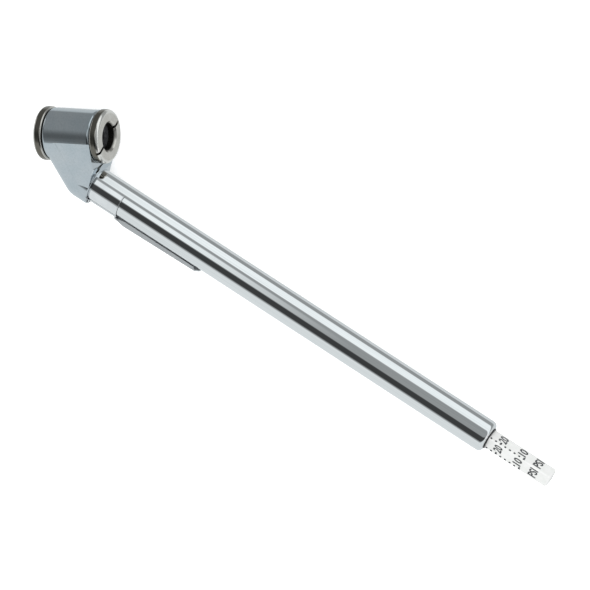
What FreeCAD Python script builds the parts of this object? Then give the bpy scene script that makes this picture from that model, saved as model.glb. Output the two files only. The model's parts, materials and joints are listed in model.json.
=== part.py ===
import FreeCAD, Part
import math
import os

# A pencil tyre pressure gauge with a double straight-on chuck, in millimetres.
#
# The head is a cross barrel with a chuck at each end. A flat-sided web joins it to the tube.
# A valve pushed into either chuck moves a shuttle, which shuts the other chuck and lets air
# into the tube. The air pushes a piston against a long spring, and the piston pushes out a
# square bar with the scale on it. The bar stays out when the piston springs back.
#
# The pieces are drawn in a working frame whose X axis is the tube's axis, pointing from the
# head to the tube's mouth, with X = 0 on the head's socket face. Z is across the flat sides.
# Each piece is moved, when it is written, so that the origin is the mouth of the front chuck.

Vector = FreeCAD.Vector

# Tube
TUBE_D = 10.2
TUBE_WALL = 0.6
TUBE_OUT = 144.9
TUBE_IN = 6.0
MOUTH_D = 7.0
MOUTH_LAND = 0.1
GASKET_T = 1.0
GASKET_HOLE_D = 6.0
SOCKET_GAP = 0.03

# Head: where the barrel's centre is, how it is turned, and how large it is
BARREL_X = -12.66
BARREL_Y = 10.63
BARREL_TURN = 31.0
BARREL_D = 16.2
BARREL_L = 16.5
BARREL_EDGE = 0.9
BOSS_D = 14.4
BOSS_BACK = 4.13
EDGE_ROUND = 0.45
SKIN = 0.02
WEB_STEP = 0.06

# Chuck, measured from the barrel's centre outwards
CHAMBER_D = 7.0
CHAMBER_HALF = 3.9
THREAD_D = 13.7
NUT_FACE = 11.3
NUT_D = 16.8
NUT_RIM = 1.2
NUT_BACK_ROUND = 0.6
NUT_BACK = 8.4
NUT_END = 4.2
NUT_CUP_D = 11.2
CHUCK_D = 8.4
CHUCK_CHAMFER = 0.7
LIP_T = 2.6
THREAD_GAP = 0.05
RUBBER_GAP = 0.05
SLOT_W = 0.9
SLOT_DEPTH = 1.2
FRONT_SLOT_TURN = 22.0
REAR_SLOT_TURN = -69.0
WASHER_T = 2.8
WASHER_HOLE_D = 3.2
SEAT_T = 2.0
SEAT_HOLE_D = 4.2
PASSAGE_D = 2.2
PASSAGE_REACH = 12.0

# Shuttle between the two chucks
SHUTTLE_D = 6.9
SHUTTLE_HALF = 1.9
SHUTTLE_GROOVE_D = 4.6
SHUTTLE_GROOVE_W = 1.6
FLUTE_D = 1.6
SHUTTLE_SEAL_T = 0.8
SHUTTLE_SEAL_D = 5.8
PIN_D = 1.8
PIN_TIP = 8.5
PIN_ROOT = 0.9

# Piston and spring
PISTON_D = 8.9
PISTON_L = 5.0
PISTON_GROOVE_DEPTH = 0.6
PISTON_GROOVE_BACK = 1.6
PISTON_GROOVE_W = 1.6
PISTON_STOP_GAP = 0.1
CUP_D = 8.96
CUP_L = 3.0
CUP_WALL = 0.9
CUP_FLOOR = 1.0
CUP_LIP = 0.25
CUP_LIP_L = 0.6
RIVET_D = 2.0
RIVET_HEAD_D = 5.2
RIVET_HEAD_T = 0.8
RIVET_L = 4.0
SPRING_WIRE = 0.8
SPRING_OD = 8.4
SPRING_TURNS = 32
SPRING_GAP = 0.1

# Bar and its guide
BAR_SIDE = 4.55
BAR_TURN = 13.2
BAR_ROUND = 0.35
BAR_TIP_ROUND = 0.8
BAR_SHOWN = 22.5
BAR_AT_ZERO = 1.5
BAR_HEAD_D = 6.5
BAR_HEAD_T = 1.2
GUIDE_L = 3.5
GUIDE_FIT = 0.05
GUIDE_NOSE = 0.35

# Pocket clip; heights are measured from the tube's axis
COLLAR_START = 0.3
COLLAR_L = 10.2
COLLAR_T = 0.3
COLLAR_GAP_FROM = -54.0
COLLAR_GAP_TO = 44.0
STRAP_T = 0.5
STRAP_HALF_W = 2.5
STRAP_TIP_HALF_W = 1.4
LOOP_X = -0.2
LOOP_R = 0.9
LOOP_HOLE_R = 0.42
NOTCH_DEPTH = 1.3
NOTCH_SIDE_GAP = 0.15
HUG_HALF = 26.0
HUG_END_X = 10.4
STRAP_STEP_X = 10.0
STRAP_TOP_X = 13.8
STRAP_NOSE_X = 40.2
STRAP_TIP_X = 41.7
STRAP_TOP_H = 6.1
STRAP_NOSE_H = 5.55
LIP_FROM_X = 11.0
LIP_TO_X = 39.8
LIP_H = 4.9
LIP_W = 0.4
BEAD_X = 38.0
BEAD_R = 1.3

TUBE_R = TUBE_D / 2
TUBE_BORE_R = TUBE_R - TUBE_WALL
SOCKET_R = TUBE_R + SOCKET_GAP
SOCKET_X = -TUBE_IN - GASKET_T
BARREL_HALF = BARREL_L / 2
BOSS_R = BOSS_D / 2
X_AXIS = Vector(1, 0, 0)
Z_AXIS = Vector(0, 0, 1)

# The barrel's own frame has its axis along +X and the tube on its -Y side.
BARREL_PLACE = FreeCAD.Placement(
    Vector(BARREL_X, BARREL_Y, 0), FreeCAD.Rotation(Z_AXIS, BARREL_TURN)
)
CHUCK_WALL_START = NUT_FACE - CHUCK_CHAMFER
ORIGIN = BARREL_PLACE.multVec(Vector(CHUCK_WALL_START, 0, 0))


def save(name, shape):
    """Move a piece to the part's frame and write it as one STEP file."""
    moved = shape.copy()
    moved.translate(ORIGIN.negative())
    print(name, "solids", len(moved.Solids), "valid", moved.isValid(), "mm3", round(moved.Volume, 2))
    moved.exportStep(f"parts/{name}.step")


def line(start, end):
    """A straight edge between two (x, radius) points."""
    return Part.makeLine(Vector(*start, 0), Vector(*end, 0))


def arc(start, middle, end):
    """A round edge through three (x, radius) points."""
    return Part.Arc(Vector(*start, 0), Vector(*middle, 0), Vector(*end, 0)).toShape()


def rounded_corner(centre, radius, first_deg, last_deg):
    """A round edge about a centre, from one angle to another."""
    def at(angle):
        turn = math.radians(angle)
        return (centre[0] + radius * math.cos(turn), centre[1] + radius * math.sin(turn))
    return arc(at(first_deg), at((first_deg + last_deg) / 2), at(last_deg))


def turned(edges, angle=360.0):
    """Turn a closed outline of (x, radius) edges about the X axis."""
    face = Part.Face(Part.Wire(edges))
    return face.revolve(Vector(0, 0, 0), X_AXIS, angle)


def turned_points(points):
    """Turn a closed outline with straight sides about the X axis."""
    ends = points[1:] + points[:1]
    return turned([line(start, end) for start, end in zip(points, ends)])


def rod(radius, start, end):
    """A plain cylinder along X."""
    return Part.makeCylinder(radius, end - start, Vector(start, 0, 0), X_AXIS)


def ring(outer, inner, start, end):
    """A plain ring along X."""
    return rod(outer, start, end).cut(rod(inner, start - 1, end + 1))


def at_barrel(shape, end=1):
    """Place a piece drawn on the barrel's axis; end -1 turns it to the rear chuck."""
    placed = shape.copy()
    if end < 0:
        placed.rotate(Vector(0, 0, 0), Z_AXIS, 180)
    placed.Placement = BARREL_PLACE.multiply(placed.Placement)
    return placed


def tube():
    """Drawn tube, with its far end rolled in to a smaller mouth."""
    mouth_r = MOUTH_D / 2
    roll_x = roll_start()
    roll_r = TUBE_OUT - roll_x
    roll_c = TUBE_R - roll_r
    inner_r = roll_r - TUBE_WALL
    edges = [
        line((-TUBE_IN, TUBE_BORE_R), (-TUBE_IN, TUBE_R)),
        line((-TUBE_IN, TUBE_R), (roll_x, TUBE_R)),
        rounded_corner((roll_x, roll_c), roll_r, 90, 0),
        line((TUBE_OUT, roll_c), (TUBE_OUT, mouth_r)),
        line((TUBE_OUT, mouth_r), (TUBE_OUT - TUBE_WALL, mouth_r)),
        line((TUBE_OUT - TUBE_WALL, mouth_r), (TUBE_OUT - TUBE_WALL, roll_c)),
        rounded_corner((roll_x, roll_c), inner_r, 0, 90),
        line((roll_x, TUBE_BORE_R), (-TUBE_IN, TUBE_BORE_R)),
    ]
    return turned(edges)


def roll_start():
    """Where the tube starts to curve in to its mouth."""
    return TUBE_OUT - (TUBE_R - MOUTH_D / 2 - MOUTH_LAND)


def barrel_blank():
    """Solid barrel with rounded ends, drawn on its own axis."""
    radius = BARREL_D / 2
    shoulder = BARREL_HALF - BARREL_EDGE
    inner = radius - BARREL_EDGE
    edges = [
        line((-BARREL_HALF, 0), (-BARREL_HALF, inner)),
        rounded_corner((-shoulder, inner), BARREL_EDGE, 180, 90),
        line((-shoulder, radius), (shoulder, radius)),
        rounded_corner((shoulder, inner), BARREL_EDGE, 90, 0),
        line((BARREL_HALF, inner), (BARREL_HALF, 0)),
        line((BARREL_HALF, 0), (-BARREL_HALF, 0)),
    ]
    return turned(edges)


def web_blank():
    """Web from the barrel to the tube: a round back, tapering flat sides and a round boss."""
    to_barrel = BARREL_PLACE.inverse()
    nose = to_barrel.multVec(Vector(-BOSS_BACK, 0, 0))
    socket = to_barrel.multVec(Vector(0, 0, 0))
    corner = Vector(-BARREL_HALF, -BARREL_D / 2, 0)

    # The back is a round limb. Its outline runs from the barrel's corner down to the boss,
    # and it ends in a ball whose centre is on the tube's axis.
    reach = nose.sub(corner)
    tilt = math.atan2(-reach.y, reach.x) + math.asin(BOSS_R / reach.Length)
    down = Vector(math.cos(tilt), -math.sin(tilt), 0)
    length = nose.y / down.y
    top = nose.sub(down * length)
    top_r = BARREL_D / 2 + WEB_STEP
    taper = math.acos(BOSS_R / math.hypot(top_r, length)) - math.atan2(length, top_r)
    touch = (length + BOSS_R * math.sin(taper), BOSS_R * math.cos(taper))
    half_turn = math.radians((90 - math.degrees(taper)) / 2)
    limb = turned([
        line((0, 0), (0, top_r)),
        line((0, top_r), touch),
        arc(
            touch,
            (length + BOSS_R * math.cos(half_turn), BOSS_R * math.sin(half_turn)),
            (length + BOSS_R, 0),
        ),
        line((length + BOSS_R, 0), (0, 0)),
    ])
    limb.rotate(Vector(0, 0, 0), Z_AXIS, -math.degrees(tilt))
    limb.translate(top)

    # The flat sides hold the barrel's top line and the limb's, and run to the socket face.
    across = Vector(-down.y, down.x, 0)
    far = length + BOSS_R
    wide = BARREL_L + BOSS_D

    slope = math.tan(taper) / -down.y

    def side_points(sign):
        corners = [top, top + down * far, top + down * far + across * wide, top + across * wide]
        return [point + Z_AXIS * (sign * (top_r - SKIN + slope * point.y)) for point in corners]

    upper = side_points(1)
    lower = side_points(-1)
    faces = [Part.Face(Part.makePolygon(points + points[:1])) for points in (upper, lower)]
    for first in range(4):
        second = (first + 1) % 4
        side = [upper[first], upper[second], lower[second], lower[first], upper[first]]
        faces.append(Part.Face(Part.makePolygon(side)))
    flats = Part.makeSolid(Part.makeShell(faces))

    # Everything beyond the tube's axis belongs to the boss, so the flats stop there.
    outline = [
        top,
        nose,
        socket,
        Vector(BARREL_HALF, socket.y + BOSS_R, 0),
        Vector(BARREL_HALF, 0, 0),
        top,
    ]
    prism = Part.Face(Part.makePolygon(outline)).extrude(Z_AXIS * (2 * BARREL_D))
    prism.translate(Z_AXIS * -BARREL_D)
    boss = Part.makeCylinder(BOSS_R - SKIN, BOSS_BACK + 1, nose, socket.sub(nose))
    web = limb.fuse(flats.common(prism)).fuse(boss)
    size = 4 * BARREL_L
    room = Part.makeBox(2 * BARREL_HALF, size, size, Vector(-BARREL_HALF, -size, -size / 2))
    return web.common(room)


def head_body():
    """Cast body: barrel, web, tube socket, chamber and the air passage between them."""
    body = barrel_blank().fuse(web_blank())
    body.Placement = BARREL_PLACE
    front = Part.makeBox(40, 80, 40, Vector(0, -40, -20))
    body = body.cut(front).removeSplitter()
    edge_list = [e for e in body.Edges if on_front_edge(e)]
    body = body.makeFillet(EDGE_ROUND, edge_list)
    bore = rod(CHAMBER_D / 2, -CHAMBER_HALF, CHAMBER_HALF)
    for end in (1, -1):
        start, stop = sorted((end * CHAMBER_HALF, end * (BARREL_HALF + 1)))
        bore = bore.fuse(rod(THREAD_D / 2, start, stop))
    body = body.cut(at_barrel(bore))
    body = body.cut(rod(SOCKET_R, SOCKET_X, 1))
    drop = Part.makeCylinder(PASSAGE_D / 2, PASSAGE_REACH, Vector(0, 0, 0), Vector(0, -1, 0))
    notch_half = STRAP_HALF_W + NOTCH_SIDE_GAP
    notch = Part.makeBox(
        NOTCH_DEPTH + 1, BOSS_R, 2 * notch_half, Vector(-NOTCH_DEPTH, -BOSS_R - SOCKET_R + 1, -notch_half)
    )
    return body.cut(at_barrel(drop)).cut(notch)


def on_front_edge(edge):
    """True for the edges round the socket face."""
    box = edge.BoundBox
    return abs(box.XMin) < 0.001 and abs(box.XMax) < 0.001


def nut(slot_turn):
    """Slotted nut of a chuck: a rim that shows, and a spigot that screws in."""
    rim = NUT_D / 2
    hole = CHUCK_D / 2
    spigot = THREAD_D / 2 - THREAD_GAP
    lip = NUT_FACE - LIP_T
    edges = [
        line((NUT_FACE - CHUCK_CHAMFER, hole), (lip, hole)),
        line((lip, hole), (lip, NUT_CUP_D / 2)),
        line((lip, NUT_CUP_D / 2), (NUT_END, NUT_CUP_D / 2)),
        line((NUT_END, NUT_CUP_D / 2), (NUT_END, spigot)),
        line((NUT_END, spigot), (NUT_BACK, spigot)),
        line((NUT_BACK, spigot), (NUT_BACK, rim - NUT_BACK_ROUND)),
        rounded_corner((NUT_BACK + NUT_BACK_ROUND, rim - NUT_BACK_ROUND), NUT_BACK_ROUND, 180, 90),
        line((NUT_BACK + NUT_BACK_ROUND, rim), (NUT_FACE - NUT_RIM, rim)),
        rounded_corner((NUT_FACE - NUT_RIM, rim - NUT_RIM), NUT_RIM, 90, 0),
        line((NUT_FACE, rim - NUT_RIM), (NUT_FACE, hole + CHUCK_CHAMFER)),
        line((NUT_FACE, hole + CHUCK_CHAMFER), (NUT_FACE - CHUCK_CHAMFER, hole)),
    ]
    slot = Part.makeBox(
        2 * SLOT_DEPTH, SLOT_W, 2 * NUT_D, Vector(NUT_FACE - SLOT_DEPTH, -SLOT_W / 2, -NUT_D)
    )
    slot.rotate(Vector(0, 0, 0), X_AXIS, slot_turn)
    return turned(edges).cut(slot)


def shuttle():
    """Fluted spool that slides between the two seats."""
    spool = rod(SHUTTLE_D / 2, -SHUTTLE_HALF, SHUTTLE_HALF)
    half_groove = SHUTTLE_GROOVE_W / 2
    spool = spool.cut(ring(SHUTTLE_D, SHUTTLE_GROOVE_D / 2, -half_groove, half_groove))
    for quarter in range(4):
        flute = Part.makeCylinder(
            FLUTE_D / 2, 2 * SHUTTLE_HALF + 2, Vector(-SHUTTLE_HALF - 1, SHUTTLE_D / 2, 0), X_AXIS
        )
        flute.rotate(Vector(0, 0, 0), X_AXIS, 45 + 90 * quarter)
        spool = spool.cut(flute)
    for end in (1, -1):
        start, stop = sorted((end * PIN_ROOT, end * (SHUTTLE_HALF + 1)))
        spool = spool.cut(rod(PIN_D / 2, start, stop))
    return spool


def pin():
    """Pin that opens the valve's core, with a domed tip."""
    radius = PIN_D / 2
    edges = [
        line((PIN_ROOT, 0), (PIN_ROOT, radius)),
        line((PIN_ROOT, radius), (PIN_TIP - radius, radius)),
        rounded_corner((PIN_TIP - radius, 0), radius, 90, 0),
        line((PIN_TIP, 0), (PIN_ROOT, 0)),
    ]
    return turned(edges)


def piston_x():
    """Front face of the piston at a reading of zero."""
    return -TUBE_IN + PISTON_STOP_GAP + CUP_L + PISTON_L


def piston():
    """Piston, with a blind hole at the back for its rivet."""
    front = piston_x()
    back = front - PISTON_L
    body = rod(PISTON_D / 2, back, front)
    groove_back = back + PISTON_GROOVE_BACK
    groove = ring(PISTON_D, PISTON_D / 2 - PISTON_GROOVE_DEPTH, groove_back, groove_back + PISTON_GROOVE_W)
    hole = rod(RIVET_D / 2, back - 1, back + RIVET_L - CUP_FLOOR)
    return body.cut(groove).cut(hole)


def piston_cup():
    """Rubber cup seal; its open side faces the air from the head."""
    front = piston_x() - PISTON_L
    back = front - CUP_L
    floor = front - CUP_FLOOR
    return turned_points([
        (front, RIVET_D / 2),
        (front, CUP_D / 2),
        (back + CUP_LIP_L, CUP_D / 2),
        (back, CUP_D / 2 - CUP_LIP),
        (back, CUP_D / 2 - CUP_LIP - CUP_WALL / 2),
        (floor, CUP_D / 2 - CUP_WALL),
        (floor, RIVET_D / 2),
    ])


def piston_rivet():
    """Rivet that holds the cup on the piston."""
    floor = piston_x() - PISTON_L - CUP_FLOOR
    return turned_points([
        (floor + RIVET_L, 0),
        (floor + RIVET_L, RIVET_D / 2),
        (floor, RIVET_D / 2),
        (floor, RIVET_HEAD_D / 2),
        (floor - RIVET_HEAD_T / 2, RIVET_HEAD_D / 2),
        (floor - RIVET_HEAD_T, RIVET_HEAD_D / 3),
        (floor - RIVET_HEAD_T, 0),
    ])


def spring():
    """Long coil spring from the piston to the bar's guide."""
    start = piston_x() + SPRING_GAP + SPRING_WIRE / 2
    end = roll_start() - GUIDE_L - SPRING_WIRE / 2
    radius = (SPRING_OD - SPRING_WIRE) / 2
    height = end - start
    path = Part.makeHelix(height / SPRING_TURNS, height, radius)
    wire = Part.Wire([Part.makeCircle(SPRING_WIRE / 2, Vector(radius, 0, 0), Vector(0, 1, 0))])
    coil = Part.Wire(path.Edges).makePipeShell([wire], True, True)
    coil.rotate(Vector(0, 0, 0), Vector(0, 1, 0), 90)
    coil.translate(Vector(start, 0, 0))
    return coil


def square_rod(side, start, end):
    """Square rod along X, turned as the bar is."""
    block = Part.makeBox(end - start, side, side, Vector(start, -side / 2, -side / 2))
    block.rotate(Vector(0, 0, 0), X_AXIS, BAR_TURN)
    return block


def bar():
    """Square indicator bar with rounded edges and a round head that keeps it in the tube."""
    tip = TUBE_OUT + BAR_SHOWN
    foot = piston_x() + BAR_SHOWN - BAR_AT_ZERO
    block = square_rod(BAR_SIDE, foot, tip)
    long_edges = [e for e in block.Edges if e.BoundBox.XLength > 1]
    block = block.makeFillet(BAR_ROUND, long_edges)
    tip_edges = [e for e in block.Edges if e.BoundBox.XMin > tip - 0.001]
    block = block.makeFillet(BAR_TIP_ROUND, tip_edges)
    return block.fuse(rod(BAR_HEAD_D / 2, foot, foot + BAR_HEAD_T))


def bar_guide():
    """Bush with a square hole: the spring holds it in the rolled mouth, where its nose shows."""
    end = roll_start()
    nose_end = TUBE_OUT + GUIDE_NOSE
    bush = rod(TUBE_BORE_R - GUIDE_FIT, end - GUIDE_L, end)
    bush = bush.fuse(rod(MOUTH_D / 2 - GUIDE_FIT, end - 1, nose_end))
    return bush.cut(square_rod(BAR_SIDE + 2 * GUIDE_FIT, end - GUIDE_L - 1, nose_end + 1))


def box_ring(x_start, x_end, low, high):
    """Closed rectangle of (x, radius) edges."""
    points = [(x_start, low), (x_start, high), (x_end, high), (x_end, low)]
    return [line(start, end) for start, end in zip(points, points[1:] + points[:1])]


def flat_strap():
    """Springy part of the strap: it steps out from the tube and comes back to touch it."""
    hug_h = TUBE_R + COLLAR_T
    inner = [
        (STRAP_STEP_X, hug_h),
        (STRAP_TOP_X, STRAP_TOP_H),
        (STRAP_NOSE_X, STRAP_NOSE_H),
        (STRAP_TIP_X - STRAP_T / 2, TUBE_R + STRAP_T / 2),
    ]
    outer = [
        (STRAP_TIP_X, TUBE_R + STRAP_T),
        (STRAP_TIP_X - STRAP_T / 2, TUBE_R + 1.5 * STRAP_T),
        (STRAP_NOSE_X, STRAP_NOSE_H + STRAP_T),
        (STRAP_TOP_X, STRAP_TOP_H + STRAP_T),
        (STRAP_STEP_X, hug_h + STRAP_T),
    ]
    outline = [Vector(x, -height, 0) for x, height in inner + outer]
    strap = Part.Face(Part.makePolygon(outline + outline[:1])).extrude(Z_AXIS * (2 * STRAP_HALF_W))
    strap.translate(Z_AXIS * -STRAP_HALF_W)
    # Both long edges are folded in towards the tube.
    side = [
        Vector(LIP_FROM_X, -hug_h, 0),
        Vector(STRAP_TOP_X, -LIP_H, 0),
        Vector(LIP_TO_X - STRAP_T, -LIP_H, 0),
        Vector(LIP_TO_X, -STRAP_NOSE_H, 0),
        Vector(STRAP_NOSE_X, -(STRAP_NOSE_H + STRAP_T / 2), 0),
        Vector(STRAP_TOP_X, -(STRAP_TOP_H + STRAP_T / 2), 0),
    ]
    for z in (-STRAP_HALF_W, STRAP_HALF_W - LIP_W):
        lip = Part.Face(Part.makePolygon(side + side[:1])).extrude(Z_AXIS * LIP_W)
        lip.translate(Z_AXIS * z)
        strap = strap.fuse(lip)
    plan = [
        Vector(STRAP_STEP_X, 0, STRAP_HALF_W),
        Vector(STRAP_NOSE_X, 0, STRAP_HALF_W),
        Vector(STRAP_TIP_X, 0, STRAP_TIP_HALF_W),
        Vector(STRAP_TIP_X, 0, -STRAP_TIP_HALF_W),
        Vector(STRAP_NOSE_X, 0, -STRAP_HALF_W),
        Vector(STRAP_STEP_X, 0, -STRAP_HALF_W),
        Vector(STRAP_STEP_X, 0, STRAP_HALF_W),
    ]
    strap = strap.common(Part.Face(Part.makePolygon(plan)).extrude(Vector(0, -BOSS_D, 0)))
    bead = Part.makeSphere(BEAD_R, Vector(BEAD_X, -(TUBE_R + BEAD_R), 0))
    under = STRAP_NOSE_H + STRAP_T / 2
    bead = bead.common(Part.makeBox(2 * BEAD_R, under, 2 * BEAD_R, Vector(BEAD_X - BEAD_R, -under, -BEAD_R)))
    return strap.fuse(bead)


def clip():
    """Pocket clip: a collar round the tube, a rolled root and a strap that hugs the collar.

    The rolled root sits in a notch in the head, which keeps the clip from turning.
    """
    collar_r = TUBE_R + COLLAR_T
    collar = turned(
        box_ring(COLLAR_START, COLLAR_START + COLLAR_L, TUBE_R, collar_r),
        360 - COLLAR_GAP_TO + COLLAR_GAP_FROM,
    )
    collar.rotate(Vector(0, 0, 0), X_AXIS, COLLAR_GAP_TO)
    hug = turned(box_ring(COLLAR_START, HUG_END_X, collar_r, collar_r + STRAP_T), 2 * HUG_HALF)
    hug.rotate(Vector(0, 0, 0), X_AXIS, 180 - HUG_HALF)
    loop_at = Vector(LOOP_X, -(TUBE_R + LOOP_R), -STRAP_HALF_W)
    loop = Part.makeCylinder(LOOP_R, 2 * STRAP_HALF_W, loop_at, Z_AXIS)
    hole = Part.makeCylinder(LOOP_HOLE_R, 2 * STRAP_HALF_W, loop_at, Z_AXIS)
    wrap = rod(TUBE_R, LOOP_X - 2 * LOOP_R, STRAP_TIP_X + 1)
    solid = collar.fuse([hug, loop, flat_strap()])
    return solid.cut(hole).cut(wrap)


def main():
    os.makedirs("parts", exist_ok=True)
    save("head_body", head_body())
    lip = NUT_FACE - LIP_T
    seat_out = lip - WASHER_T
    cup_r = NUT_CUP_D / 2 - RUBBER_GAP
    chuck = {
        "washer": ring(cup_r, WASHER_HOLE_D / 2, seat_out, lip),
        "seat": ring(cup_r, SEAT_HOLE_D / 2, seat_out - SEAT_T, seat_out),
        "shuttle_seal": ring(SHUTTLE_SEAL_D / 2, PIN_D / 2, SHUTTLE_HALF, SHUTTLE_HALF + SHUTTLE_SEAL_T),
        "pin": pin(),
    }
    for side, end, slot_turn in (("front", 1, FRONT_SLOT_TURN), ("rear", -1, REAR_SLOT_TURN)):
        save(f"{side}_nut", at_barrel(nut(slot_turn), end))
        for piece, shape in chuck.items():
            save(f"{side}_{piece}", at_barrel(shape, end))
    save("shuttle", at_barrel(shuttle()))
    save("tube", tube())
    save("tube_gasket", ring(TUBE_R, GASKET_HOLE_D / 2, SOCKET_X, -TUBE_IN))
    save("clip", clip())
    save("piston", piston())
    save("piston_cup", piston_cup())
    save("piston_rivet", piston_rivet())
    save("spring", spring())
    save("bar", bar())
    save("bar_guide", bar_guide())
    print("origin in the working frame", ORIGIN)


main()
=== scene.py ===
import json
import math

import bmesh
import bpy
from mathutils import Matrix, Vector


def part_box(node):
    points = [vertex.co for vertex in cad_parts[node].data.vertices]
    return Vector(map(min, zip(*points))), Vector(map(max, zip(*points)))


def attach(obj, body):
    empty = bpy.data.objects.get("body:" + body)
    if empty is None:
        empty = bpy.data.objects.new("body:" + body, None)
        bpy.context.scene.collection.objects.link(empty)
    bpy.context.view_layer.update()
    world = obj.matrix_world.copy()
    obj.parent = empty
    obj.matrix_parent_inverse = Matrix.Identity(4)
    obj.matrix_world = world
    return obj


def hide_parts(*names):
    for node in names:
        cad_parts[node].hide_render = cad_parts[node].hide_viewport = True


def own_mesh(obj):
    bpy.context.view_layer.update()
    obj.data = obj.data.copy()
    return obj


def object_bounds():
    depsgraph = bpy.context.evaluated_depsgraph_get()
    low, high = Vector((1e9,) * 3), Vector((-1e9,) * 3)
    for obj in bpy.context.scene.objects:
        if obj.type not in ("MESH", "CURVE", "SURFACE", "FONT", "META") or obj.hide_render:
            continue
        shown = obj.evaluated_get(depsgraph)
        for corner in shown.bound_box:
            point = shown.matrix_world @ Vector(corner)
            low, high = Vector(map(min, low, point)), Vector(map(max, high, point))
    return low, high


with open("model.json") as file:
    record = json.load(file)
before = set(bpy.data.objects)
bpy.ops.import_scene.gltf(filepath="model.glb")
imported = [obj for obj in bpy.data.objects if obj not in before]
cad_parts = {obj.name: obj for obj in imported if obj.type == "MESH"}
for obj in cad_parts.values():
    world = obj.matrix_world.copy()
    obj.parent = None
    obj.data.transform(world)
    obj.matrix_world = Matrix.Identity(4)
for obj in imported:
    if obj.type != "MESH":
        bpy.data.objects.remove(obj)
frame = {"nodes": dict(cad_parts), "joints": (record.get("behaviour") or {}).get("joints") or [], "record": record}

# Looks of a pencil tyre pressure gauge. Sizes are in metres, in the part's frame: X along the
# tube away from the head, Y from the tube towards the barrel, Z across the flat sides.

CAD_LOW, CAD_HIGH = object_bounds()
MM = 0.001


def joint(name):
    """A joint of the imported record."""
    return next(j for j in frame["joints"] if j["name"] == name)


def mount_at(name):
    """The place of a mount."""
    return Vector(next(m for m in frame["record"]["mounts"] if m["name"] == name)["pos_m"])


def add_object(name, data):
    """A new object, linked to the scene."""
    made = bpy.data.objects.new(name, data)
    bpy.context.scene.collection.objects.link(made)
    return made


# Sizes of the part that its boxes and mounts don't give
TUBE_IN_SOCKET = 6.0 * MM
STRAP_FROM_SOCKET = 10.0 * MM
NUT_PROUD = 0.7 * MM
NUT_LENGTH = 2.9 * MM

# Places worked out from the frame. SOCKET is where the tube leaves the head. NUT_FACE and NUT_BACK
# are distances from the barrel's middle.
TUBE_LOW, TUBE_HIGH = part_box("tube")
TUBE_Y = (TUBE_LOW.y + TUBE_HIGH.y) / 2
SOCKET = Vector((TUBE_LOW.x + TUBE_IN_SOCKET, TUBE_Y, 0))
STRAP_START = SOCKET.x + STRAP_FROM_SOCKET
BARREL_AXIS = Vector(joint("shuttle_slide")["axis"])
BARREL_TURN = math.atan2(BARREL_AXIS.y, BARREL_AXIS.x)
FRONT_CHUCK = mount_at("front_chuck")
REAR_CHUCK = mount_at("rear_chuck")
BARREL_MIDDLE = (FRONT_CHUCK + REAR_CHUCK) / 2
NUT_FACE = (FRONT_CHUCK - REAR_CHUCK).length / 2 + NUT_PROUD
NUT_BACK = NUT_FACE - NUT_LENGTH
NUT_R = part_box("front_nut")[1].z


# ---------------------------------------------------------------- node helpers

class Nodes:
    """A material or world node tree, with short ways to add and join nodes."""

    def __init__(self, tree):
        self.tree = tree
        tree.nodes.clear()

    def add(self, kind, inputs=None, **settings):
        """Add a node. An input that is a socket is linked, and any other is the input's value."""
        node = self.tree.nodes.new(kind)
        for name, value in settings.items():
            setattr(node, name, value)
        for name, value in (inputs or {}).items():
            socket = node.inputs[name]
            if isinstance(value, bpy.types.NodeSocket):
                self.tree.links.new(value, socket)
            else:
                socket.default_value = value
        return node

    def ramp(self, value, stops):
        """A colour ramp; stops are (position, (r, g, b))."""
        node = self.add("ShaderNodeValToRGB", {"Fac": value})
        elements = node.color_ramp.elements
        while len(elements) < len(stops):
            elements.new(0.5)
        for element, (position, colour) in zip(elements, stops):
            element.position = position
            element.color = (*colour, 1)
        return node.outputs["Color"]

    def range(self, value, low, high, to_low=0.0, to_high=1.0, smooth=False):
        """Map a value from one range to another."""
        kind = "SMOOTHSTEP" if smooth else "LINEAR"
        inputs = {"Value": value, "From Min": low, "From Max": high, "To Min": to_low, "To Max": to_high}
        return self.add("ShaderNodeMapRange", inputs, interpolation_type=kind).outputs["Result"]

    def maths(self, operation, first, second=0.0):
        """One Math node."""
        node = self.add("ShaderNodeMath", {0: first, 1: second}, operation=operation)
        return node.outputs["Value"]

    def product(self, *factors):
        """Several values multiplied together."""
        result = factors[0]
        for factor in factors[1:]:
            result = self.maths("MULTIPLY", result, factor)
        return result

    def mix(self, factor, first, second):
        """Mix a colour that comes from a socket with a second, given as (r, g, b)."""
        # A Mix node has its factor at input 0, its colours at inputs 6 and 7 and at output 2.
        inputs = {0: factor, 6: first, 7: (*second, 1)}
        return self.add("ShaderNodeMix", inputs, data_type="RGBA").outputs[2]

    def place(self, scale=(1, 1, 1), turn=0.0):
        """Object coordinates, turned about Z and scaled; scale is in features a metre."""
        coords = self.add("ShaderNodeTexCoord").outputs["Object"]
        turned = self.add("ShaderNodeMapping", {"Vector": coords, "Rotation": (0, 0, turn)})
        scaled = self.add("ShaderNodeMapping", {"Vector": turned.outputs["Vector"], "Scale": scale})
        return scaled.outputs["Vector"]

    def split(self, vector):
        """The X, Y and Z of a vector, by name."""
        return self.add("ShaderNodeSeparateXYZ", {"Vector": vector}).outputs

    def noise(self, where, scale=1.0, detail=3.0):
        """Noise from 0 to 1."""
        inputs = {"Vector": where, "Scale": scale, "Detail": detail, "Roughness": 0.55}
        return self.add("ShaderNodeTexNoise", inputs).outputs["Fac"]

    def bump(self, height, strength, distance, under=None):
        """A bump of the given depth in metres, on top of another normal if one is given."""
        inputs = {"Height": height, "Strength": strength, "Distance": distance}
        if under is not None:
            inputs["Normal"] = under
        return self.add("ShaderNodeBump", inputs).outputs["Normal"]


def material(name):
    """A new material and its emptied node tree."""
    made = bpy.data.materials.new(name)
    made.use_nodes = True
    return made, Nodes(made.node_tree)


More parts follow.
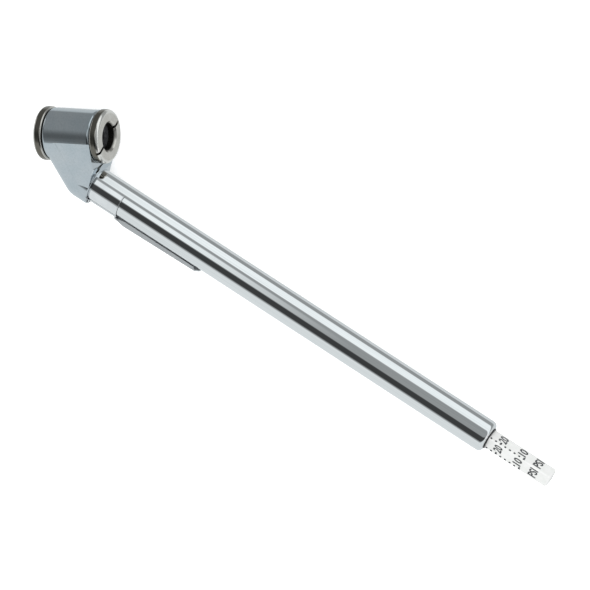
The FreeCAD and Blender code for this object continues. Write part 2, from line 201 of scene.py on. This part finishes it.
def principled(nodes, colour, roughness, normal=None, **constants):
    """Principled shader with linked colour and roughness; constants go on its own sockets."""
    shader = nodes.add("ShaderNodeBsdfPrincipled", {"Base Color": colour, "Roughness": roughness})
    if normal is not None:
        nodes.tree.links.new(normal, shader.inputs["Normal"])
    for socket, value in constants.items():
        shader.inputs[socket.replace("_", " ")].default_value = value
    return shader.outputs["BSDF"]


def show(nodes, shader):
    """Make a shader the material's surface."""
    nodes.add("ShaderNodeOutputMaterial", {"Surface": shader})


# ------------------------------------------------------------------- materials

def tube_chrome():
    """Mirror chrome on drawn tube: faint lengthwise lines, handling smudges, slow waves."""
    made, n = material("tube_chrome_look")
    lines = n.noise(n.place((25, 3200, 3200)), detail=4)
    smudge = n.noise(n.place((60, 110, 110)), detail=2)
    waves = n.noise(n.place((9, 40, 40)), detail=1)
    colour = n.ramp(lines, [(0.35, (0.80, 0.82, 0.83)), (0.65, (0.88, 0.89, 0.90))])
    smudged = n.range(smudge, 0.55, 0.75, 0.0, 0.03, smooth=True)
    roughness = n.maths("ADD", n.range(lines, 0.3, 0.7, 0.02, 0.04), smudged)
    normal = n.bump(waves, 0.12, 0.2 * MM, n.bump(lines, 0.05, 0.01 * MM))
    show(n, principled(n, colour, roughness, normal, Metallic=1.0))
    return made


def barrel_frame(n):
    """Object coordinates in the barrel's frame: X along its axis, from its middle."""
    moved = n.add("ShaderNodeVectorMath", {0: n.place(), 1: tuple(BARREL_MIDDLE)}, operation="SUBTRACT")
    inputs = {"Vector": moved.outputs["Vector"], "Rotation": (0, 0, -BARREL_TURN)}
    return n.add("ShaderNodeMapping", inputs).outputs["Vector"]


def cast_plate():
    """Blue-bright plate on a die casting: cloudy tone, dark grain, orange peel, turned barrel lines."""
    made, n = material("cast_plate_look")
    cloud = n.noise(n.place((160, 160, 160)), detail=3)
    grain = n.noise(n.place((1500, 1500, 1500)), detail=3)
    peel = n.noise(n.place((420, 420, 420)), detail=2)
    lines = n.noise(n.place((2600, 120, 2600), -BARREL_TURN), detail=3)
    tones = [(0.3, (0.52, 0.58, 0.62)), (0.5, (0.56, 0.61, 0.65)), (0.75, (0.60, 0.64, 0.67))]
    colour = n.mix(n.range(grain, 0.45, 0.75, 0.0, 0.25), n.ramp(cloud, tones), (0.40, 0.44, 0.46))
    turned = n.range(lines, 0.4, 0.7, 0.0, 0.02)
    roughness = n.maths("ADD", n.range(grain, 0.3, 0.7, 0.04, 0.08), turned)
    normal = n.bump(peel, 0.08, 0.1 * MM, n.bump(grain, 0.06, 0.02 * MM))
    show(n, principled(n, colour, roughness, normal, Metallic=1.0))
    return made


def nut_plate():
    """Nickel plate on turned nuts: rings, small dings, a painted highlight on the rim, painted shade in dark brown
    on the sides, painted shade in the slots and holes.
    """
    made, n = material("nut_plate_look")
    where = barrel_frame(n)
    parts = n.split(where)
    out = n.maths("ABSOLUTE", parts["X"])
    squares = n.maths("ADD", n.product(parts["Y"], parts["Y"]), n.product(parts["Z"], parts["Z"]))
    radius = n.maths("SQRT", squares)
    rings = n.add(
        "ShaderNodeTexWave",
        {"Vector": where, "Scale": 900.0, "Distortion": 1.2, "Detail": 2.0, "Detail Scale": 0.6},
        wave_type="RINGS", rings_direction="X",
    ).outputs["Fac"]
    cloud = n.noise(where, 300.0)
    dings = n.noise(where, 1400.0, detail=2)
    base = n.ramp(cloud, [(0.3, (0.60, 0.57, 0.53)), (0.7, (0.72, 0.69, 0.65))])
    spotted = n.mix(n.range(dings, 0.62, 0.78, 0.0, 0.4), base, (0.34, 0.31, 0.28))
    # Painted shade: the outside of the nut, behind its rim and in front of its back edge, is darkened to a deep
    # brown
    side = n.product(
        n.range(out, NUT_FACE - 0.55 * MM, NUT_FACE - 1.0 * MM, smooth=True),
        n.range(out, NUT_BACK + 0.25 * MM, NUT_BACK + 0.45 * MM, smooth=True),
        n.range(radius, NUT_R - 0.45 * MM, NUT_R - 0.2 * MM, smooth=True),
    )
    side_shaded = n.mix(n.product(side, 0.88), spotted, (0.11, 0.10, 0.08))
    # Painted highlight: the rounded rim of the face is lightened towards near white
    wear_and_sheen = n.product(
        n.range(out, NUT_FACE - 0.85 * MM, NUT_FACE - 0.55 * MM),
        n.range(radius, NUT_R - 1.4 * MM, NUT_R - 0.7 * MM, smooth=True),
    )
    rim_sheened = n.mix(n.product(wear_and_sheen, 0.7), side_shaded, (0.97, 0.95, 0.92))
    # Painted shade in the slots and holes, below the face and inside the rim
    recess_shade = n.product(
        n.range(out, NUT_FACE - 0.15 * MM, NUT_FACE - 0.8 * MM, smooth=True),
        n.range(radius, NUT_R - 0.25 * MM, NUT_R - 1.0 * MM, smooth=True),
    )
    colour = n.mix(n.product(recess_shade, 0.93), rim_sheened, (0.022, 0.019, 0.016))
    clouded = n.range(cloud, 0.3, 0.7, 0.0, 0.06)
    roughness = n.maths("ADD", n.range(rings, 0.0, 1.0, 0.12, 0.18), clouded)
    roughness = n.maths("ADD", roughness, n.product(recess_shade, 0.3))
    normal = n.bump(rings, 0.10, 0.012 * MM, n.bump(dings, 0.12, 0.03 * MM))
    show(n, principled(n, colour, roughness, normal, Metallic=1.0))
    return made


def clip_steel():
    """Bright plated sheet steel with rolling lines; the strap is dull and the ends carry painted shade."""
    made, n = material("clip_steel_look")
    lines = n.noise(n.place((60, 2400, 2400)), detail=4)
    cloud = n.noise(n.place((220, 220, 220)))
    plate = n.ramp(cloud, [(0.3, (0.80, 0.81, 0.83)), (0.7, (0.92, 0.93, 0.94))])
    facing = n.split(n.add("ShaderNodeNewGeometry").outputs["Normal"])["X"]
    # Painted shade: faces that point along the tube, at the ends of the sheet, are darkened
    colour = n.mix(n.range(n.maths("ABSOLUTE", facing), 0.8, 0.95), plate, (0.16, 0.165, 0.17))
    polish = n.maths("ADD", n.range(lines, 0.3, 0.7, 0.02, 0.04), n.range(cloud, 0.5, 0.8, 0.0, 0.03))
    strap = n.range(n.split(n.place())["X"], STRAP_START, STRAP_START + 0.6 * MM)
    roughness = n.maths("ADD", polish, n.product(strap, 0.5))
    normal = n.bump(lines, 0.08, 0.01 * MM)
    show(n, principled(n, colour, roughness, normal, Metallic=1.0))
    return made


def plain_metal(name, dark, light, low, high):
    """Cloudy metal of the pieces inside; low and high are its roughness."""
    made, n = material(name)
    tone = n.noise(n.place((600, 600, 600)), detail=4)
    colour = n.ramp(tone, [(0.3, dark), (0.7, light)])
    roughness = n.range(tone, 0.3, 0.7, low, high)
    show(n, principled(n, colour, roughness, n.bump(tone, 0.15, 0.02 * MM), Metallic=1.0))
    return made


def rubber():
    """Black moulded rubber with a dusty grain."""
    made, n = material("rubber_look")
    where = n.place()
    grain = n.noise(where, 2600.0)
    dust = n.noise(where, 420.0)
    colour = n.ramp(dust, [(0.4, (0.020, 0.020, 0.022)), (0.8, (0.070, 0.070, 0.074))])
    roughness = n.range(grain, 0.3, 0.7, 0.55, 0.8)
    normal = n.bump(grain, 0.3, 0.03 * MM)
    show(n, principled(n, colour, roughness, normal, Specular_IOR_Level=0.3))
    return made


def moulded(name, dark, light, low, high):
    """Moulded plastic, faintly mottled and grained; low and high are its roughness."""
    made, n = material(name)
    where = n.place()
    mottle = n.noise(where, 500.0)
    grain = n.noise(where, 2400.0, detail=2)
    colour = n.ramp(mottle, [(0.35, dark), (0.7, light)])
    roughness = n.range(grain, 0.3, 0.7, low, high)
    normal = n.bump(grain, 0.06, 0.02 * MM)
    show(n, principled(n, colour, roughness, normal, Specular_IOR_Level=0.45))
    return made


def ink():
    """Black print, paler where rubbing has thinned it."""
    made, n = material("ink_look")
    where = n.place()
    wear_and_sheen = n.noise(where, 2200.0, detail=4)
    tones = [(0.35, (0.02, 0.022, 0.024)), (0.62, (0.05, 0.053, 0.056)), (0.78, (0.30, 0.31, 0.31))]
    roughness = n.range(wear_and_sheen, 0.3, 0.7, 0.4, 0.6)
    show(n, principled(n, n.ramp(wear_and_sheen, tones), roughness, n.bump(wear_and_sheen, 0.1, 0.004 * MM)))
    return made


def paint_nodes():
    """Give each CAD node the material of its slot, and return the materials by slot."""
    steel = plain_metal("steel_look", (0.42, 0.42, 0.43), (0.60, 0.60, 0.61), 0.22, 0.35)
    looks = {
        "tube_chrome": tube_chrome(),
        "cast_body": cast_plate(),
        "nut_plate": nut_plate(),
        "clip_steel": clip_steel(),
        "spring_steel": steel,
        "brass": plain_metal("brass_look", (0.62, 0.44, 0.18), (0.80, 0.62, 0.30), 0.20, 0.32),
        "piston_metal": plain_metal("piston_look", (0.62, 0.63, 0.64), (0.76, 0.77, 0.78), 0.22, 0.34),
        "rubber": rubber(),
        "guide_plastic": moulded("guide_look", (0.015, 0.015, 0.017), (0.03, 0.03, 0.032), 0.35, 0.5),
        "bar_plastic": moulded("bar_look", (0.66, 0.67, 0.65), (0.72, 0.72, 0.71), 0.32, 0.45),
    }
    slots = {part["node"]: part["material_slot"] for part in frame["record"]["subparts"]}
    for name, node in frame["nodes"].items():
        for slot in node.material_slots:
            slot.material = looks[slots[name]]
    return looks


# ---------------------------------------------------------- printed bar scale

PRINT = "bar_print"
FIRST_MARK = 10
LAST_MARK = 120
PSI_STEP = joint("piston_slide")["range_m"][1] / LAST_MARK
NUMBER_EVERY = 10
TICK_EVERY = 2
ZERO_FROM_TIP = 1.5 * MM
UNIT_FROM_TIP = 5.5 * MM
FIRST_SHIFT = -1.3 * MM
INK_HEIGHT = 0.012 * MM
CAP_HEIGHT = 2.9 * MM
LETTER_WEIGHT = 0.03
TEXT_WIDTH = {2: 2.5 * MM, 3: 3.2 * MM}
NUMBER_OFFSET = 0.45 * MM
UNIT_OFFSET = 0.1 * MM
TICK_SIZE = 0.6 * MM
LONG_TICK = 1.0 * MM
TICK_INSET = 0.55 * MM
BAR_SIDE = 4.55 * MM
BAR_TURN = math.radians(13.2)
# On a face, letters stand with their tops towards the head and read across the bar.
UPRIGHT = Matrix.Rotation(math.pi / 2, 4, "Z")


def dot_mesh():
    """A cube of one unit, which stands for any tick."""
    mesh = bpy.data.meshes.new("dot")
    cube = bmesh.new()
    bmesh.ops.create_cube(cube, size=1)
    cube.to_mesh(mesh)
    cube.free()
    return mesh


def letters(text):
    """A solid mesh of some text, centred and one unit long each way."""
    curve = bpy.data.curves.new("letters", "FONT")
    curve.body = text
    curve.align_x = "CENTER"
    curve.align_y = "CENTER"
    curve.resolution_u = 3
    curve.extrude = 0.5
    curve.offset = LETTER_WEIGHT
    source = add_object("letters", curve)
    bpy.context.view_layer.update()
    mesh = bpy.data.meshes.new_from_object(source.evaluated_get(bpy.context.evaluated_depsgraph_get()))
    bpy.data.objects.remove(source)
    points = [v.co.copy() for v in mesh.vertices]
    low = Vector(map(min, zip(*points)))
    high = Vector(map(max, zip(*points)))
    middle = (low + high) / 2
    size = high - low
    mesh.transform(Matrix.Translation(-middle))
    mesh.transform(Matrix.Diagonal((1 / size.x, 1 / size.y, 1 / size.z, 1)))
    return mesh


def add_mesh(target, mesh, matrix):
    """Add a copy of a mesh to a bmesh, moved by a matrix."""
    first = len(target.verts)
    target.from_mesh(mesh)
    target.verts.ensure_lookup_table()
    for vert in target.verts[first:]:
        vert.co = matrix @ vert.co


def stamp(printed, face, mesh, x, y, long, wide):
    """Add a mark to a face of the bar: x and long run along the bar, y and wide run across it."""
    size = Matrix.Diagonal((wide, long, 2 * INK_HEIGHT, 1))
    add_mesh(printed, mesh, face @ Matrix.Translation((x, y, 0)) @ UPRIGHT @ size)


def print_face(printed, face, tip, dot, words):
    """Ticks, numbers and the unit on one face of the bar."""
    edge = TICK_INSET - BAR_SIDE / 2
    for mark in range(FIRST_MARK, LAST_MARK + 1, TICK_EVERY):
        x = tip - ZERO_FROM_TIP - mark * PSI_STEP
        numbered = mark % NUMBER_EVERY == 0
        length = LONG_TICK if numbered else TICK_SIZE
        stamp(printed, face, dot, x, edge + (length - TICK_SIZE) / 2, TICK_SIZE, length)
        if numbered:
            text = str(mark)
            shift = FIRST_SHIFT if mark == FIRST_MARK else 0
            width = TEXT_WIDTH[len(text)]
            stamp(printed, face, words[text], x + shift, NUMBER_OFFSET, CAP_HEIGHT, width)
    stamp(printed, face, words["PSI"], tip - UNIT_FROM_TIP, UNIT_OFFSET, CAP_HEIGHT, TEXT_WIDTH[3])


def bar_scale(look):
    """The scale on all four faces of the bar, as thin raised ink."""
    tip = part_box("bar")[1].x
    dot = dot_mesh()
    words = {str(mark): letters(str(mark)) for mark in range(FIRST_MARK, LAST_MARK + 1, NUMBER_EVERY)}
    words["PSI"] = letters("PSI")
    printed = bmesh.new()
    for quarter in range(4):
        turn = Matrix.Rotation(BAR_TURN + quarter * math.pi / 2, 4, "X")
        face = Matrix.Translation((0, TUBE_Y, 0)) @ turn @ Matrix.Translation((0, 0, BAR_SIDE / 2))
        print_face(printed, face, tip, dot, words)
    mesh = bpy.data.meshes.new(PRINT)
    printed.to_mesh(mesh)
    printed.free()
    mesh.materials.append(look)
    piece = add_object(PRINT, mesh)
    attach(piece, "bar")


# ------------------------------------------------------------------- spring

SPRING = "return_spring"
WIRE_R = 0.4 * MM
TURNS = 32
END_TURNS = 1.5
END_PITCH = 0.9 * MM
STEPS_A_TURN = 20
WIRE_SIDES = 8


def spring_reach(turns, length):
    """Distance along the spring after some turns: close ones at both ends, open ones between."""
    open_turns = TURNS - 2 * END_TURNS
    open_pitch = (length - 2 * END_TURNS * END_PITCH) / open_turns
    reach = END_PITCH * min(turns, END_TURNS)
    reach += open_pitch * min(max(turns - END_TURNS, 0), open_turns)
    return reach + END_PITCH * max(turns - END_TURNS - open_turns, 0)


def coil_spring(look):
    """Return spring with closed end turns, in place of the plain helix."""
    low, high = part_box("spring")
    coil_r = (high.z - low.z) / 2 - WIRE_R
    length = high.x - low.x - 2 * WIRE_R
    shape = bmesh.new()
    rings = []
    for step in range(TURNS * STEPS_A_TURN + 1):
        turns = step / STEPS_A_TURN
        x = low.x + WIRE_R + spring_reach(turns, length)
        angle = 2 * math.pi * turns
        out = Vector((0, math.cos(angle), math.sin(angle)))
        middle = Vector((x, TUBE_Y, 0)) + out * coil_r
        ring = []
        for side in range(WIRE_SIDES):
            around = 2 * math.pi * side / WIRE_SIDES
            offset = Vector((math.cos(around), 0, 0)) + out * math.sin(around)
            ring.append(shape.verts.new(middle + offset * WIRE_R))
        rings.append(ring)
    for before, after in zip(rings, rings[1:]):
        for side in range(WIRE_SIDES):
            following = (side + 1) % WIRE_SIDES
            shape.faces.new((before[side], before[following], after[following], after[side]))
    shape.faces.new(rings[0])
    shape.faces.new(reversed(rings[-1]))
    bmesh.ops.recalc_face_normals(shape, faces=shape.faces)
    for face in shape.faces:
        face.smooth = True
    mesh = bpy.data.meshes.new(SPRING)
    shape.to_mesh(mesh)
    shape.free()
    mesh.materials.append(look)
    piece = add_object(SPRING, mesh)
    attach(piece, "gauge")
    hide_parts("spring")
    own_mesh(piece)


# --------------------------------------------------------- studio and camera

# The camera's place is from the socket, and its lens and sensor are in millimetres.
LENS = 257.0
SENSOR = 36.0
SEEN_TO = 10.0
CAMERA_AT = Vector((0.2903, 0.6723, 1.0772))
VIEW_RIGHT = Vector((0.8260, 0.3884, -0.4085))
VIEW_BACK = Vector((0.1703, 0.5189, 0.8377))
FLOOR_HALF = 6.0
FLOOR_GLOW = 0.4
KEY_ENERGY = 1.4
KEY_SPREAD = math.radians(60)
KEY_TURN = (math.radians(-28), math.radians(12), 0)


def camera():
    """Long-lens camera above the flat side of the head, turned so that the tube runs down right."""
    back = VIEW_BACK.normalized()
    right = (VIEW_RIGHT - back * VIEW_RIGHT.dot(back)).normalized()
    up = back.cross(right)
    data = bpy.data.cameras.new("camera")
    data.lens = LENS
    data.sensor_width = SENSOR
    data.clip_end = SEEN_TO
    holder = add_object("camera", data)
    turn = Matrix((right, up, back)).transposed().to_4x4()
    holder.matrix_world = Matrix.Translation(SOCKET + CAMERA_AT) @ turn
    bpy.context.scene.camera = holder


def floor():
    """Pale seamless floor at the lowest point of the gauge, which can be seen through from below."""
    made, n = material("floor_look")
    tone = n.noise(n.place((3, 3, 3)), detail=2)
    colour = n.ramp(tone, [(0.3, (0.90, 0.90, 0.90)), (0.7, (0.92, 0.92, 0.92))])
    top = principled(
        n, colour, n.range(tone, 0.3, 0.7, 0.7, 0.8), Specular_IOR_Level=0.0,
        Emission_Color=(1.0, 1.0, 1.0, 1.0), Emission_Strength=FLOOR_GLOW,
    )
    clear = n.add("ShaderNodeBsdfTransparent").outputs["BSDF"]
    under = n.add("ShaderNodeNewGeometry").outputs["Backfacing"]
    show(n, n.add("ShaderNodeMixShader", {0: under, 1: top, 2: clear}).outputs["Shader"])
    mesh = bpy.data.meshes.new("floor")
    z = CAD_LOW.z
    corners = [(-FLOOR_HALF, -FLOOR_HALF, z), (FLOOR_HALF, -FLOOR_HALF, z)]
    corners += [(FLOOR_HALF, FLOOR_HALF, z), (-FLOOR_HALF, FLOOR_HALF, z)]
    mesh.from_pydata(corners, [], [(0, 1, 2, 3)])
    mesh.materials.append(made)
    plane = add_object("floor", mesh)
    plane.visible_glossy = False
    plane.visible_diffuse = False


# Soft panels and cards in a plain grey room. Each runs along the tube, from one angle about it to
# another, in degrees from +Y towards +Z, and from one place to another, in metres from the socket.
# Its long edges fade over twice the given number of degrees. A later one covers an earlier one.
# Angles count a full turn from the seam, so a panel that reaches the seam runs past it.
ROOM_R = 0.35
ROOM_HALF = 1.5
ROOM_SIDES = 128
ROOM_LIGHT = 0.33
ROOM_TINT = (0.95, 1.0, 1.01, 1)
SEAM = -130.0
PANEL_END = 0.05
FAR = 2.0
PANELS = {
    "table": {"angles": (122, 240), "light": 0.80, "places": (-FAR, FAR), "edge": 4},
    "side panel": {"angles": (-140, -60), "light": 0.70, "places": (-0.35, FAR), "edge": 4},
    "main softbox": {"angles": (-25, 24), "light": 1.00, "places": (-0.10, FAR), "edge": 4},
    "head softbox": {"angles": (42, 72), "light": 1.00, "places": (-0.10, 0.0), "edge": 4},
    "grey card": {"angles": (80, 112), "light": 0.14, "places": (-FAR, -0.12), "edge": 14},
    "black card": {"angles": (76, 114), "light": 0.05, "places": (-0.12, FAR), "edge": 4},
}


def between(n, value, span, fade):
    """1 between the two ends of a span and 0 beyond them, fading over fade to each side of an end."""
    low, high = span
    return n.product(
        n.range(value, low - fade, low + fade, smooth=True),
        n.range(value, high + fade, high - fade, smooth=True),
    )


def room_shade():
    """Light of the room and its panels, by angle about the tube and by place along it."""
    made, n = material("room_look")
    parts = n.split(n.add("ShaderNodeTexCoord").outputs["Object"])
    turn = n.maths("ARCTAN2", parts["Z"], parts["Y"])
    degrees = n.range(turn, -math.pi, math.pi, -180.0, 180.0)
    full_turn = {0: degrees, 1: SEAM + 360.0, 2: SEAM}
    angle = n.add("ShaderNodeMath", full_turn, operation="WRAP").outputs["Value"]
    light = ROOM_LIGHT
    for panel in PANELS.values():
        across = between(n, angle, panel["angles"], panel["edge"])
        along = between(n, parts["X"], panel["places"], PANEL_END)
        change = n.maths("SUBTRACT", panel["light"], light)
        light = n.maths("ADD", light, n.product(across, along, change))
    show(n, n.add("ShaderNodeEmission", {"Color": ROOM_TINT, "Strength": light}).outputs["Emission"])
    return made


def room():
    """Round studio room about the tube's axis, which only shows in reflections."""
    shape = bmesh.new()
    bmesh.ops.create_cone(
        shape, cap_ends=False, segments=ROOM_SIDES, radius1=ROOM_R, radius2=ROOM_R, depth=2 * ROOM_HALF
    )
    bmesh.ops.rotate(shape, verts=shape.verts, matrix=Matrix.Rotation(math.pi / 2, 3, "Y"))
    mesh = bpy.data.meshes.new("studio_room")
    shape.to_mesh(mesh)
    shape.free()
    mesh.materials.append(room_shade())
    shell = add_object("studio_room", mesh)
    shell.location = SOCKET
    shell.visible_camera = False
    shell.visible_diffuse = False
    shell.visible_shadow = False
    shell.visible_transmission = False


def lights():
    """Soft even light on the floor and the bar; the metal mostly reflects the room."""
    world = bpy.data.worlds.new("studio")
    bpy.context.scene.world = world
    world.use_nodes = True
    n = Nodes(world.node_tree)
    sky = n.add("ShaderNodeBackground", {"Color": (0.98, 0.99, 1.0, 1), "Strength": 1.0})
    n.add("ShaderNodeOutputWorld", {"Surface": sky.outputs["Background"]})
    lamp = bpy.data.lights.new("key", "SUN")
    lamp.energy = KEY_ENERGY
    lamp.angle = KEY_SPREAD
    key = add_object("key", lamp)
    key.rotation_euler = KEY_TURN
    key.visible_glossy = False
    bpy.context.scene.view_settings.view_transform = "Standard"


def main():
    """Give the CAD parts their looks, add the print, the spring and the studio."""
    looks = paint_nodes()
    bar_scale(ink())
    coil_spring(looks["spring_steel"])
    camera()
    floor()
    room()
    lights()


main()
